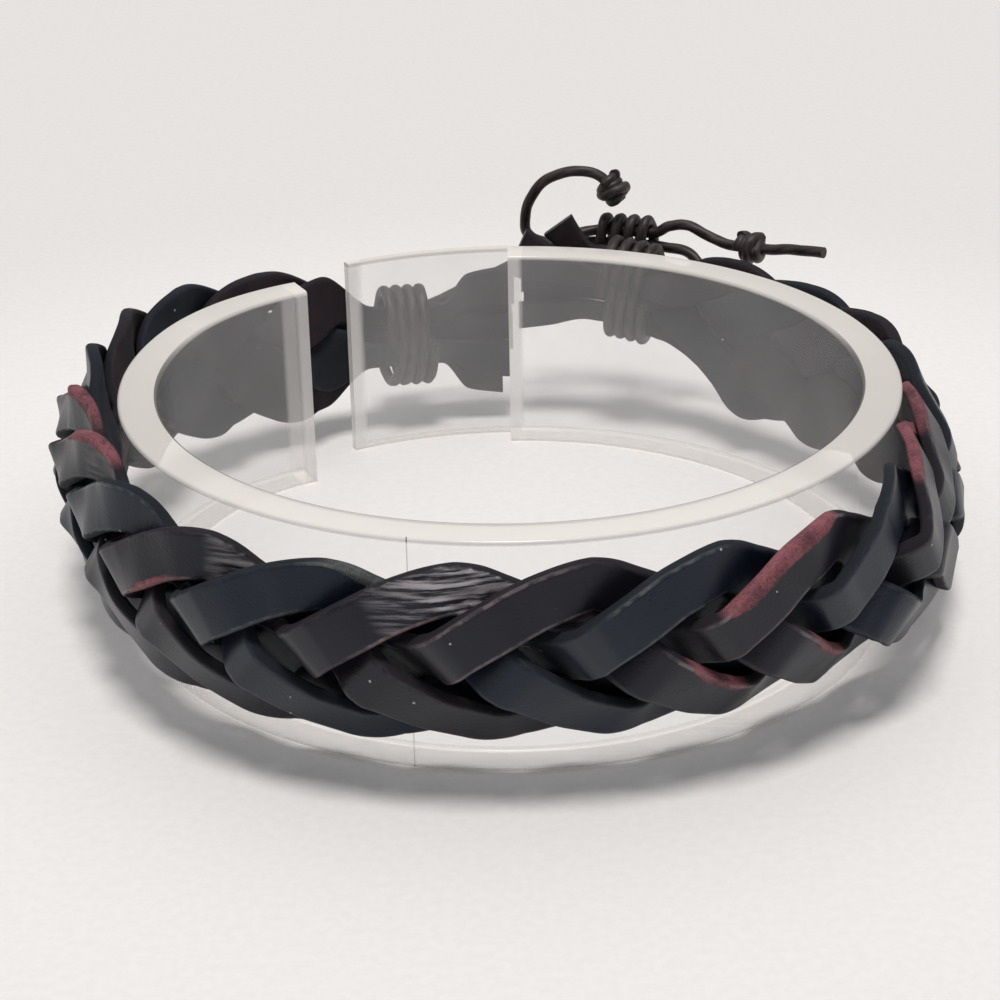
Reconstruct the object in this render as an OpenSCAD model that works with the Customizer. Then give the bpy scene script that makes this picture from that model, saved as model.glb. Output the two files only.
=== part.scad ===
// Flat five-strip leather braid, tied shut with a sliding knot, on a clear display ring.
// The ring's axis is Z and its bottom face lies at z = 0. Angles run round the axis:
// 0 is the front (-Y), they grow towards -X, and 180 is the back (+Y).

/* [Display ring] */
// Outer diameter of the clear ring
ring_d = 60; // [58:0.5:64]
// Wall of the clear ring
ring_wall = 3; // [2:0.1:3.2]
// Height of the clear ring
ring_h = 17.7; // [16:0.1:20]
// Chamfer on the ring's four edges
ring_edge = 0.3; // [0.1:0.05:0.5]
// Angle where the right end of the ring stands
ring_right_end = -178; // [-179:1:-174]
// Angle where the left end of the ring starts to lean inwards
ring_lean_start = 111; // [100:1:120]
// Length of the leaning end, as an angle
ring_lean = 42; // [30:1:44]
// Radius at which the leaning end bends
lean_r = 19; // [15:1:25]
// Wall of the thin tongue that bridges the gap
tongue_wall = 0.8; // [0.6:0.1:1]
// Angle where the tongue's free end stands
tongue_end = 152; // [148:1:156]

/* [Braid] */
// Width of one leather strip
strip_w = 3.3; // [3:0.05:3.3]
// Thickness of one leather strip
strip_t = 1.1; // [0.9:0.05:1.1]
// Width of the whole braid
braid_w = 13.5; // [13.4:0.1:13.9]
// Height of the braid's middle above the ring's bottom face
braid_z = 11; // [10:0.1:12]
// Radius of the braid's middle layer
braid_r = 32.6; // [32.5:0.05:33]
// Radius of the bow across the braid at the front, which turns its edges back
bow_r = 16.7; // [16:0.1:18]
// Angle by which the braid's middle faces down at the front
bow_tilt = 8.8; // [7:0.1:9]
// Angle that one strip takes to go down and up again
strip_turn = 75; // [75:1:75]
// Angle of the first strip's crest nearest the front
first_crest = -8.35; // [-9:0.05:-8]

/* [Cord] */
// Diameter of the waxed cord
cord_d = 1; // [0.8:0.1:1]
// Turns of cord round each end of the braid
binding_turns = 4; // [3:1:4]
// Turns of the sliding knot
knot_turns = 4; // [3:1:4]
// Turns of each stopper knot
stopper_turns = 2.5; // [2:0.5:2.5]

/* [Hidden] */
$fn = 96;

ring_r = ring_d / 2;
strips = 5;
// how much smaller the leaning end and the tongue are than the wall that they grow from,
// and the degrees that they reach into it
ring_inset = 0.02;
ring_overlap = 1;
// angle from one strip's crest to the next strip's
pitch = strip_turn / strips;
// how far a strip's middle line swings to each side of the braid's middle
swing = (braid_w - strip_w) / 2;
// share of the third harmonic that straightens the arms of the zigzag
straighten = 0.1;
navy = [0.07, 0.08, 0.12];
brown = [0.16, 0.10, 0.09];
waxed = [0.20, 0.14, 0.12];
clear = [0.92, 0.93, 0.93, 0.35];
UP = [0, 0, 1];
ALONG_X = [1, 0, 0];

// How a strip lifts and leans on its way from the braid's edge to its middle.
// phase: share of one turn; lift: distance outwards from the middle layer;
// lean: angle by which the strip's upper edge is turned outwards
FOLD_PHASE = 0;
FOLD_LIFT = 1;
FOLD_LEAN = 2;
FOLD = [
    [0.000, 0.00,   0],
    [0.030, 0.47,   2],
    [0.060, 0.79,  -2],
    [0.100, 0.96, -13],
    [0.140, 1.24, -17],
    [0.180, 1.38,  -2],
    [0.205, 1.50,  14],
    [0.225, 1.21,  24],
    [0.240, 0.60,  29],
    [0.250, 0.00,  30],
];

// Extra lift of an arm's tip where the braid flares: phase, share of the full flare
TIP = [
    [0.080, 0.00],
    [0.140, 0.60],
    [0.180, 0.95],
    [0.205, 1.00],
    [0.225, 0.45],
    [0.240, 0.10],
    [0.250, 0.00],
];

// How the braid lies round the loop.
// angle: place; push: outwards shift; rise: upwards shift;
// spread: share of the full width; flare: extra lift of the tips of the arms;
// bow: share of the full bow across the braid
COURSE_PUSH = 1;
COURSE_RISE = 2;
COURSE_SPREAD = 3;
COURSE_FLARE = 4;
COURSE_BOW = 5;
COURSE = [
    [  -180, 1.30,  2.20, 0.72, 0.0, 0.00],
    [  -173, 1.30,  2.20, 0.64, 0.0, 0.00],
    [  -167, 1.30,  2.00, 0.50, 0.0, 0.00],
    [  -155, 1.30,  1.10, 0.50, 0.0, 0.00],
    [  -146, 0.80, -0.10, 0.90, 0.0, 0.00],
    [  -138, 0.30, -0.80, 1.00, 0.0, 0.00],
    [  -120, 0.20, -1.00, 1.00, 0.0, 0.00],
    [  -100, 0.20, -0.50, 1.00, 0.2, 0.00],
    [   -75, 0.35,  0.00, 1.00, 0.7, 0.00],
    [   -62, 0.40,  0.10, 1.00, 0.9, 0.20],
    [   -45, 1.15,  0.30, 1.00, 2.0, 0.70],
    [   -28, 1.65,  0.72, 1.00, 0.6, 1.00],
    [     0, 1.60,  0.95, 1.00, 0.3, 1.00],
    [    28, 1.65,  0.20, 1.00, 0.4, 1.00],
    [    50, 1.05,  0.00, 1.00, 0.2, 0.50],
    [    70, 0.30,  0.00, 1.00, 0.6, 0.05],
    [    93, 0.80,  0.00, 1.00, 1.4, 0.00],
    [   108, 1.40,  0.00, 1.00, 1.9, 0.00],
    [   121, 1.90, -0.10, 1.00, 1.9, 0.00],
    [   134, 1.70, -0.60, 1.00, 1.0, 0.00],
    [   144, 1.40, -1.30, 1.00, 0.3, 0.00],
    [   151, 1.30, -1.80, 0.96, 0.0, 0.00],
    [   159, 1.30, -2.40, 0.49, 0.0, 0.00],
    [   170, 1.30, -2.70, 0.49, 0.0, 0.00],
    [   174, 1.30, -2.80, 0.90, 0.0, 0.00],
    [   180, 1.30, -2.80, 1.00, 0.0, 0.00],
];

// degrees over which a value of the course table is eased
course_ease = 3;

// what the full bow adds to a strip's zigzag: a constant and the first three harmonics
BOWED_ZIGZAG = [-0.76, 0.85, -0.44, -0.20];
// least share of the bow, which keeps its radius finite where the braid is flat
flat_bow = 0.001;
// share of the leaning that is left at the full bow
bowed_lean = 0.3;

// Where braiding stops at each end, as a number of pitches that leaves the strips side by side
braid_right_end = first_crest - 9.75 * pitch;
braid_left_end = first_crest + 10.75 * pitch;
// degrees each side of that place over which the zigzag stops, and past it over which leaning does
fade = 4;
lean_fade = 6;
// degrees between the sections of a strip's straight ends, and over which its slope is read
end_step = 2;
slope_step = 0.4;
// most that a steep stretch of strip is thickened, as a ratio
steep_limit = 1.5;

// The five strips: tail ends, and how far the right tail turns up
STRIP_RIGHT = 0;
STRIP_LEFT = 1;
STRIP_UP = 2;
STRIPS = [
    [-172, 178, 2.8],
    [-177, 180, 0.6],
    [-174, 179, 0.0],
    [-176, 175, 0.0],
    [-175, 177, 0.0],
];
// where the right tails start to turn up, and the degrees over which they do
tail_turn_from = 166;
tail_turn_run = 8;

// Routes of the two cords, chosen by hand: angle, distance from the axis, height
LEFT_ROUTE = [
    [161.8, 38.1,  8.3],
    [165.3, 38.0,  8.7],
    [171.0, 37.6, 10.2],
    [177.5, 37.4, 12.2],
    [184.0, 37.7, 14.2],
    [189.0, 38.6, 15.7],
    [193.0, 39.4, 16.2],
    [197.0, 39.4, 16.2],
    [200.6, 39.4, 16.3],
    [202.4, 39.5, 17.0],
    [205.0, 39.6, 17.2],
    [209.0, 39.4, 16.3],
    [212.0, 39.4, 16.0],
    [216.2, 39.4, 16.2],
    [220.0, 39.4, 16.7],
    [225.0, 39.6, 17.1],
];
RIGHT_ROUTE = [
    [202.5, 38.1, 12.4],
    [205.5, 38.2, 12.6],
    [207.4, 38.5, 13.6],
    [205.2, 39.2, 14.8],
    [201.0, 39.4, 15.0],
    [197.0, 39.4, 15.0],
    [193.0, 39.4, 15.0],
    [189.0, 39.8, 14.8],
    [185.2, 40.1, 14.6],
    [183.0, 39.9, 15.6],
    [182.9, 39.5, 17.4],
    [183.7, 39.2, 19.2],
    [185.6, 39.1, 20.8],
    [188.2, 39.0, 21.6],
    [191.0, 39.0, 21.8],
    [193.2, 39.0, 21.3],
    [194.6, 39.0, 20.3],
    [196.0, 39.0, 19.2],
];
// steps between two route rows, and sides of a cord and of a wound cord
route_steps = 2;
cord_sides = 8;
wound_sides = 6;

// Windings: their places, their reaches up and outwards, and their steps in one turn
left_binding_angle = 164.2;
right_binding_angle = -160.5;
binding_up = 4.25;
binding_out = 3.05;
binding_pitch = cord_d + 0.08;
binding_steps = 14;
knot_from = 193.3;
knot_to = 200.7;
knot_r = 39.4;
knot_z = 15.6;
knot_up = 1.85;
knot_out = 1.2;
left_stopper_rows = [12, 13];
right_stopper_rows = [15, 17];
stopper_reach = cord_d + 0.15;
stopper_steps = 10;

// Point at an angle, a distance from the axis and a height
function place(angle, r, z) = [-r * sin(angle), -r * cos(angle), z];

// Value of one column of the course table at an angle, eased over a few degrees
function course(angle, column) =
    let (rows = [for (row = COURSE) [row[0], row[column]]])
    (lookup(angle - course_ease, rows) + 2 * lookup(angle, rows)
     + lookup(angle + course_ease, rows)) / 4;

// Angle that still counts as braiding: it stops growing past each end of the braid
function held(x) =
    x <= -fade ? x : x >= fade ? 0 : -(fade - x) * (fade - x) / (4 * fade);
function braided(angle) =
    angle > 0 ? braid_left_end + held(angle - braid_left_end)
              : braid_right_end - held(braid_right_end - angle);

// Phase of a strip at an angle, from 0 at its crest to 1 at the next
function phase(strip, angle) = (braided(angle) - first_crest - (strip - 1) * pitch) / strip_turn;
function part_of(x) = x - floor(x);

// Sideways place of a strip's middle line, with the share of the bow at its place
function sideways(p, bow) =
    swing * ((1 - straighten) * cos(360 * p) + straighten * cos(3 * 360 * p))
    + bow * (BOWED_ZIGZAG * [1, cos(360 * p), cos(2 * 360 * p), cos(3 * 360 * p)]);

// Lift of a strip: outwards on the first and third quarter, inwards on the others
function fold(p, column) = lookup(p, [for (row = FOLD) [row[0], row[column]]]);
function lift(p) =
    let (q = part_of(2 * p) / 2)
    q <= 0.25 ? fold(q, FOLD_LIFT) : -fold(0.5 - q, FOLD_LIFT);
function lean(p) =
    let (q = part_of(p), h = q < 0.5 ? q : q - 0.5, m = h <= 0.25 ? h : 0.5 - h)
    (q < 0.5 ? 1 : -1) * fold(m, FOLD_LEAN);
// Extra lift of an arm's tip where the braid flares
function tip(p) =
    lookup(part_of(2 * p) / 2, TIP);

// Share of leaning that is left past the ends of the braid
function still_braiding(angle) =
    let (past = max(angle - braid_left_end, braid_right_end - angle))
    min(1, max(0, 1 - past / lean_fade));

// Point of the bowed braid: a sideways place and a distance from the middle layer become
// a distance outwards and a height
function bowed(bow, v, out) =
    let (
        share = max(bow, flat_bow),
        r = bow_r / share,
        start = -share * bow_tilt,
        turn = start + v / r * 180 / PI
    )
    [r * (cos(turn) - cos(start)) + out * cos(turn),
     r * (sin(turn) - sin(start)) + out * sin(turn)];

// Middle of a strip in the flat braid: place along the loop, sideways place, lift
function middle(strip, angle) =
    let (p = phase(strip, angle))
    [angle, sideways(p, course(angle, COURSE_BOW)),
     lift(p) + course(angle, COURSE_FLARE) * tip(p)];

// One section of a strip, carried from the flat braid to the loop
function section(strip, angle) =
    let (
        here = middle(strip, angle),
        before = middle(strip, angle - slope_step),
        after = middle(strip, angle + slope_step),
        run = 2 * slope_step * braid_r * PI / 180,
        slope = atan((after[1] - before[1]) / run),
        dive = atan((after[2] - before[2]) / run * cos(slope)),
        lean_left = 1 - (1 - bowed_lean) * course(angle, COURSE_BOW),
        turn = lean(phase(strip, angle)) * still_braiding(angle) * lean_left,
        thick = strip_t / 2 * min(steep_limit, 1 / cos(dive)),
        half = strip_w / 2,
        outline = [[-half, -thick], [half, -thick], [half, thick], [-half, thick]],
        turned = max(0, -angle - tail_turn_from) / tail_turn_run,
        tail_up = STRIPS[strip - 1][STRIP_UP] * turned * turned
    )
    [for (o = outline)
        let (
            across = o[0] * cos(turn) - o[1] * sin(turn),
            out = o[0] * sin(turn) + o[1] * cos(turn),
            a = angle - across * sin(slope) / braid_r * 180 / PI,
            v = here[1] + across * cos(slope),
            spot = bowed(course(a, COURSE_BOW), course(a, COURSE_SPREAD) * v, here[2] + out)
        )
        place(a, braid_r + course(a, COURSE_PUSH) + spot[0],
              braid_z + course(a, COURSE_RISE) + spot[1] + tail_up)];

// Angles of a strip's sections: one for each row of the fold table while it is braided,
// and evenly along its straight ends
function fold_phases() =
    let (rows = [for (row = FOLD) row[FOLD_PHASE]], last = len(rows) - 1)
    concat([for (i = [0 : last - 1]) rows[i]], [for (i = [last : -1 : 1]) 0.5 - rows[i]]);
function section_angles(strip) =
    let (
        from = braid_right_end + fade,
        to = braid_left_end - fade,
        crest = first_crest + (strip - 1) * pitch,
        reach = ceil(360 / strip_turn) + 1,
        apart = end_step / 4,
        braid = [for (half_turn = [-reach : reach]) for (f = fold_phases())
                 let (a = crest + (half_turn / 2 + f) * strip_turn)
                 if (a > from + apart && a < to - apart) a],
        right = STRIPS[strip - 1][STRIP_RIGHT],
        left = STRIPS[strip - 1][STRIP_LEFT],
        right_steps = ceil((from - right) / end_step),
        left_steps = ceil((left - to) / end_step)
    )
    concat([for (i = [0 : right_steps]) right + (from - right) * i / right_steps],
           braid,
           [for (i = [0 : left_steps]) to + (left - to) * i / left_steps]);

// Closed skin over a row of outlines that all have the same number of points
module skin(rings) {
    n = len(rings[0]);
    last = len(rings) - 1;
    points = [for (ring = rings) for (point = ring) point];
    sides = [for (i = [0 : last - 1]) for (j = [0 : n - 1])
             let (k = (j + 1) % n, a = i * n, b = (i + 1) * n)
             for (face = [[a + j, b + k, b + j], [a + j, a + k, b + k]]) face];
    first_cap = [for (j = [n - 1 : -1 : 0]) j];
    last_cap = [for (j = [0 : n - 1]) last * n + j];
    polyhedron(points, concat(sides, [first_cap, last_cap]));
}

// Smooth line through the points of a route
function blend(a, b, c, d, t) =
    0.5 * (2 * b + (c - a) * t + (2 * a - 5 * b + 4 * c - d) * t * t
           + (3 * b - a - 3 * c + d) * t * t * t);
function smooth(points, steps) =
    let (last = len(points) - 1)
    concat([for (i = [0 : last - 1]) for (s = [0 : steps - 1])
            blend(points[max(0, i - 1)], points[i], points[i + 1],
                  points[min(last, i + 2)], s / steps)], [points[last]]);
function route(rows) = smooth([for (row = rows) place(row[0], row[1], row[2])], route_steps);

// Directions along a line, and one side direction for each, carried on without twisting
function unit(v) = v / norm(v);
function along(line) =
    let (last = len(line) - 1)
    [for (i = [0 : last]) unit(line[min(last, i + 1)] - line[max(0, i - 1)])];
function across(directions, side, i = 0) =
    i == len(directions) ? [] :
    let (here = unit(side - (side * directions[i]) * directions[i]))
    concat([here], across(directions, here, i + 1));

// Round cord along a line
module cord(line, d, sides, side) {
    directions = along(line);
    firsts = across(directions, side);
    skin([for (i = [0 : len(line) - 1])
        let (second = cross(directions[i], firsts[i]))
        [for (j = [0 : sides - 1])
            let (turn = -360 * j / sides)
            line[i] + d / 2 * (cos(turn) * firsts[i] + sin(turn) * second)]]);
}

// Line wound round another line: turns, steps in one turn, reach up and reach out
function wound(line, turns, steps, up, out) =
    let (
        directions = along(line),
        last = len(line) - 1,
        count = turns * steps
    )
    [for (i = [0 : count])
        let (
            t = last * i / count,
            k = min(last - 1, floor(t)),
            f = t - k,
            middle = line[k] * (1 - f) + line[k + 1] * f,
            ahead = unit(directions[k] * (1 - f) + directions[k + 1] * f),
            side = unit(cross(ahead, abs(ahead * UP) > 0.9 ? ALONG_X : UP)),
            rise = cross(side, ahead),
            turn = 360 * i / steps
        )
        middle + out * cos(turn) * side + up * sin(turn) * rise];

// Five evenly spaced angles from one to another
function angles(from, to) = [for (i = [0 : 4]) from + (to - from) * i / 4];

// Cord wound round the gathered strips at one end of the braid
module binding(middle_angle) {
    neck_r = braid_r + course(middle_angle, COURSE_PUSH);
    half_angle = binding_turns * binding_pitch / neck_r * 90 / PI;
    neck = [for (a = angles(middle_angle - half_angle, middle_angle + half_angle))
            place(a, neck_r, braid_z + course(a, COURSE_RISE))];
    color(waxed)
        cord(wound(neck, binding_turns, binding_steps, binding_up, binding_out),
             cord_d, wound_sides, UP);
}

// Profile of the clear ring's wall, with its edges broken
module wall_profile(outer, wall, inset) {
    inner = outer - wall;
    low = inset;
    high = ring_h - inset;
    e = ring_edge;
    polygon([[inner + e, low], [outer - e, low], [outer, low + e], [outer, high - e],
             [outer - e, high], [inner + e, high], [inner, high - e], [inner, low + e]]);
}

// Part of the ring's wall from one angle to a larger one
module wall_arc(from, to, outer, wall, inset) {
    rotate([0, 0, -90 - to])
        rotate_extrude(angle = to - from)
            wall_profile(outer, wall, inset);
}

module display_ring() {
    lean_shift = ring_r - ring_wall / 2 - lean_r;
    lean_wall = ring_wall - 2 * ring_inset;
    color(clear) {
        wall_arc(ring_right_end, ring_lean_start, ring_r, ring_wall, 0);
        translate(place(ring_lean_start, lean_shift, 0))
            wall_arc(ring_lean_start - ring_overlap, ring_lean_start + ring_lean,
                     lean_r + lean_wall / 2, lean_wall, ring_inset);
        wall_arc(tongue_end - 360, ring_right_end + ring_overlap,
                 ring_r - ring_inset, tongue_wall, ring_inset);
    }
}

module strand(strip) {
    skin([for (a = section_angles(strip)) section(strip, a)]);
}

module strand_1() { color(brown) strand(1); }
module strand_2() { color(brown) strand(2); }
module strand_3() { color(navy) strand(3); }
module strand_4() { color(brown) strand(4); }
module strand_5() { color(navy) strand(5); }

module left_binding() { binding(left_binding_angle); }
module right_binding() { binding(right_binding_angle); }

module left_cord() { color(waxed) cord(route(LEFT_ROUTE), cord_d, cord_sides, UP); }
module right_cord() { color(waxed) cord(route(RIGHT_ROUTE), cord_d, cord_sides, UP); }

module sliding_knot() {
    core = [for (a = angles(knot_from, knot_to)) place(a, knot_r, knot_z)];
    color(waxed)
        cord(wound(core, knot_turns, binding_steps, knot_up, knot_out), cord_d, wound_sides, UP);
}

// Stopper knot wound round the stretch of a cord between two rows of its route
module stopper(rows, from_to) {
    line = route(rows);
    stretch = [for (i = [from_to[0] * route_steps : from_to[1] * route_steps]) line[i]];
    color(waxed)
        cord(wound(stretch, stopper_turns, stopper_steps, stopper_reach, stopper_reach),
             cord_d, wound_sides, UP);
}

module left_stopper() { stopper(LEFT_ROUTE, left_stopper_rows); }
module right_stopper() { stopper(RIGHT_ROUTE, right_stopper_rows); }

display_ring();
strand_1();
strand_2();
strand_3();
strand_4();
strand_5();
left_binding();
right_binding();
left_cord();
right_cord();
sliding_knot();
left_stopper();
right_stopper();
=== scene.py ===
import math
from functools import partialmethod

import bpy
from mathutils import Matrix, Vector


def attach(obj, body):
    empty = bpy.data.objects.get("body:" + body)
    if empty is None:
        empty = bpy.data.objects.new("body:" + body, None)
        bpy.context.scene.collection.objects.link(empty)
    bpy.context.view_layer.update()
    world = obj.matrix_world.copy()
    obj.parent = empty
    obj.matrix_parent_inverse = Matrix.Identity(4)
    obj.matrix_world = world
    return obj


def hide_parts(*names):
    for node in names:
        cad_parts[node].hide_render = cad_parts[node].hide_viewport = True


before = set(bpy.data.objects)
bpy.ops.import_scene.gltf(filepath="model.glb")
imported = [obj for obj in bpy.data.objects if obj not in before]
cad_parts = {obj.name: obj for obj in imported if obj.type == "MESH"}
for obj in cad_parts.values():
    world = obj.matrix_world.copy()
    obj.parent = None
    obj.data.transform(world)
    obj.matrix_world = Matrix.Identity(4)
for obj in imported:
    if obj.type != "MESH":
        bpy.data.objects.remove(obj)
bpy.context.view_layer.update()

mm = 0.001
print("frame loaded")


def place(angle, radius, height):
    # angle round the ring's axis: 0 at the front, growing towards -X; sizes in millimetres
    turn = math.radians(angle)
    return Vector((-radius * math.sin(turn), -radius * math.cos(turn), height)) * mm


def evenly(first, last, step):
    # numbers from first to last, about a step apart
    count = round(abs(last - first) / step)
    return [first + (last - first) * i / count for i in range(count + 1)]


def smoothTable(rows, column):
    # monotone cubic through one column of a table whose first column is the place
    xs = [row[0] for row in rows]
    ys = [row[column] for row in rows]
    gaps = [b - a for a, b in zip(xs, xs[1:])]
    rises = [(d - c) / gap for c, d, gap in zip(ys, ys[1:], gaps)]
    slopes = [rises[0]]
    for i in range(1, len(rises)):
        before, after = rises[i - 1], rises[i]
        if before * after <= 0:
            slopes.append(0.0)
        else:
            first = 2 * gaps[i] + gaps[i - 1]
            second = gaps[i] + 2 * gaps[i - 1]
            slopes.append((first + second) / (first / before + second / after))
    slopes.append(rises[-1])

    def value(x):
        if x <= xs[0]:
            return ys[0]
        if x >= xs[-1]:
            return ys[-1]
        i = max(k for k in range(len(gaps)) if xs[k] <= x)
        t = (x - xs[i]) / gaps[i]
        return ((1 + 2 * t) * (1 - t) ** 2 * ys[i] + t * (1 - t) ** 2 * gaps[i] * slopes[i]
                + t * t * (3 - 2 * t) * ys[i + 1] + t * t * (t - 1) * gaps[i] * slopes[i + 1])
    return value


def addObject(name, data):
    item = bpy.data.objects.new(name, data)
    bpy.context.scene.collection.objects.link(item)
    return item


def standsFor(piece, node):
    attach(piece, "root")
    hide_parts(node)


def socketOf(sockets, name):
    if isinstance(name, int):
        return sockets[name]
    return next(s for s in sockets if s.name == name and s.enabled)


def feed(node, inputs):
    # links signals to a node's inputs and sets the others to plain values
    for name, value in inputs.items():
        socket = socketOf(node.inputs, name)
        if isinstance(value, Signal):
            node.id_data.links.new(value.socket, socket)
        else:
            socket.default_value = value


def addNode(tree, kind, inputs=None, out=0, **settings):
    # adds a node, fills its inputs and gives back one of its outputs
    node = tree.nodes.new(kind)
    for key, value in settings.items():
        setattr(node, key, value)
    feed(node, inputs or {})
    return Signal(tree, socketOf(node.outputs, out))


class Signal:
    # one output of a node; reckoning with signals adds the nodes that do it
    def __init__(self, tree, socket):
        self.tree, self.socket = tree, socket

    def other(self, name):
        # another output of the same node
        return Signal(self.tree, socketOf(self.socket.node.outputs, name))

    def reckon(self, operation, *others):
        return addNode(self.tree, "ShaderNodeMath", dict(enumerate((self, *others))),
                       operation=operation)

    __add__ = partialmethod(reckon, "ADD")
    __sub__ = partialmethod(reckon, "SUBTRACT")
    __mul__ = partialmethod(reckon, "MULTIPLY")
    __truediv__ = partialmethod(reckon, "DIVIDE")
    __gt__ = partialmethod(reckon, "GREATER_THAN")
    __lt__ = partialmethod(reckon, "LESS_THAN")
    __abs__ = partialmethod(reckon, "ABSOLUTE")

    def clamped(self):
        return addNode(self.tree, "ShaderNodeClamp", {"Value": self})

    def vector(self, operation, second=(0, 0, 0), out=0):
        slot = "Scale" if operation == "SCALE" else 1
        return addNode(self.tree, "ShaderNodeVectorMath", {0: self, slot: second}, out,
                       operation=operation)

    def parts(self):
        # the first two numbers of a vector
        x = addNode(self.tree, "ShaderNodeSeparateXYZ", {0: self}, "X")
        return x, x.other("Y")

    def spread(self, low, high, newLow=0.0, newHigh=1.0):
        # maps a range smoothly onto another
        return addNode(self.tree, "ShaderNodeMapRange",
                       {"Value": self, "From Min": low, "From Max": high,
                        "To Min": newLow, "To Max": newHigh},
                       interpolation_type="SMOOTHSTEP")

    def noise(self, scale, detail=2.0, roughness=0.5, distortion=0.0):
        return addNode(self.tree, "ShaderNodeTexNoise",
                       {"Vector": self, "Scale": scale, "Detail": detail,
                        "Roughness": roughness, "Distortion": distortion}, "Fac")


def newGroup(name, kind, inputs, outputs):
    # a node group; each row gives a socket's name and kind and, if wanted, its value
    group = bpy.data.node_groups.new(name, kind)
    for way, rows in (("INPUT", inputs), ("OUTPUT", outputs)):
        for label, socketKind, *value in rows:
            socket = group.interface.new_socket(label, in_out=way,
                                                socket_type="NodeSocket" + socketKind)
            if value:
                socket.default_value = value[0]
    start, end = group.nodes.new("NodeGroupInput"), group.nodes.new("NodeGroupOutput")
    return group, {s.name: Signal(group, s) for s in start.outputs if s.name}, end


def geometryTree(name, inputs):
    shape = [("Geometry", "Geometry")]
    return newGroup(name, "GeometryNodeTree", shape + inputs, shape)


def named(tree, label, kind="FLOAT"):
    return addNode(tree, "GeometryNodeInputNamedAttribute", {"Name": label}, "Attribute",
                   data_type=kind)


def store(geometry, label, value, kind="FLOAT"):
    return addNode(geometry.tree, "GeometryNodeStoreNamedAttribute",
                   {"Geometry": geometry, "Name": label, "Value": value},
                   data_type=kind, domain="POINT")


def finishTree(geometry, material, end):
    tree = geometry.tree
    smooth = addNode(tree, "GeometryNodeSetShadeSmooth", {0: geometry})
    real = addNode(tree, "GeometryNodeRealizeInstances", {0: smooth})
    feed(end, {0: addNode(tree, "GeometryNodeSetMaterial",
                          {"Geometry": real, "Material": material})})


def guideLine(name, points, attributes, closed=False):
    # a line of points that carries named numbers or vectors for a tree to read
    mesh = bpy.data.meshes.new(name)
    last = len(points) if closed else len(points) - 1
    mesh.from_pydata(points, [(i, (i + 1) % len(points)) for i in range(last)], [])
    for label, values in attributes.items():
        if isinstance(values[0], (int, float)):
            layer = mesh.attributes.new(label, "FLOAT", "POINT")
            layer.data.foreach_set("value", [float(v) for v in values])
        else:
            layer = mesh.attributes.new(label, "FLOAT_VECTOR", "POINT")
            layer.data.foreach_set("vector", [c for v in values for c in v])
    return addObject(name, mesh)


def grow(guide, tree, values, keep=(), sharp=40):
    # runs a tree on a guide and keeps the result as a plain mesh in the guide's place
    modifier = guide.modifiers.new(tree.name, "NODES")
    modifier.node_group = tree
    for item in tree.interface.items_tree:
        if item.item_type == "SOCKET" and item.in_out == "INPUT" and item.name in values:
            modifier[item.identifier] = values[item.name]
    layers = bpy.context.evaluated_depsgraph_get()
    mesh = bpy.data.meshes.new_from_object(guide.evaluated_get(layers),
                                           preserve_all_data_layers=True, depsgraph=layers)
    guide.modifiers.remove(modifier)
    old, guide.data = guide.data, mesh
    bpy.data.meshes.remove(old)
    for layer in [a.name for a in mesh.attributes if not a.is_required and not a.is_internal]:
        if layer not in keep and layer not in ("material_index", "sharp_face"):
            mesh.attributes.remove(mesh.attributes[layer])
    volume = sum(mesh.vertices[f.vertices[0]].co.dot(f.normal) * f.area for f in mesh.polygons)
    if volume < 0:
        mesh.flip_normals()
    mesh.set_sharp_from_angle(angle=math.radians(sharp))
    mesh.name = guide.name
    return guide


cameraSetup = {"place": (-0.9, -171.1, 86.3), "down": 24.924, "roll": -1.169, "lens": 85.9}


def makeCamera(setup):
    data = bpy.data.cameras.new("camera")
    data.lens = setup["lens"]
    data.sensor_width = 36
    data.clip_start = 0.01
    camera = addObject("camera", data)
    down, roll = math.radians(setup["down"]), math.radians(setup["roll"])
    ahead = Vector((0, math.cos(down), -math.sin(down)))
    right, up = Vector((1, 0, 0)), Vector((0, math.sin(down), math.cos(down)))
    side = right * math.cos(roll) + up * math.sin(roll)
    top = up * math.cos(roll) - right * math.sin(roll)
    turn = Matrix((side, top, -ahead)).transposed().to_4x4()
    camera.matrix_world = Matrix.Translation(Vector(setup["place"]) * mm) @ turn
    bpy.context.scene.camera = camera


makeCamera(cameraSetup)
print("camera ready")


def makeGrain():
    # fine pores and soft creases of a smooth leather face
    group, given, end = newGroup(
        "leatherGrain", "ShaderNodeTree",
        [("Vector", "Vector"), ("Pore Scale", "Float", 3000.0),
         ("Crease Scale", "Float", 800.0), ("Crease Share", "Float", 0.6),
         ("Tone Scale", "Float", 160.0)],
        [("Height", "Float"), ("Tone", "Float")])
    pores = addNode(group, "ShaderNodeTexVoronoi",
                    {"Vector": given["Vector"], "Scale": given["Pore Scale"]}, "Distance")
    creases = given["Vector"].noise(given["Crease Scale"], 4.0, 0.6, 0.6)
    feed(end, {"Height": pores.spread(0.0, 0.5) + creases * given["Crease Share"],
               "Tone": given["Vector"].noise(given["Tone Scale"], 3.0, 0.55)})
    return group


def makeFuzz():
    # matted fibres of a cut leather edge
    group, given, end = newGroup(
        "cutEdge", "ShaderNodeTree",
        [("Vector", "Vector"), ("Scale", "Float", 4800.0), ("Patch Scale", "Float", 330.0)],
        [("Height", "Float"), ("Tone", "Float")])
    fibres = given["Vector"].noise(given["Scale"], 5.0, 0.7, 1.2)
    patches = given["Vector"].noise(given["Patch Scale"], 3.0, 0.6)
    feed(end, {"Height": fibres,
               "Tone": (fibres * 0.55 + patches * 0.45).spread(0.34, 0.66)})
    return group


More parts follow.
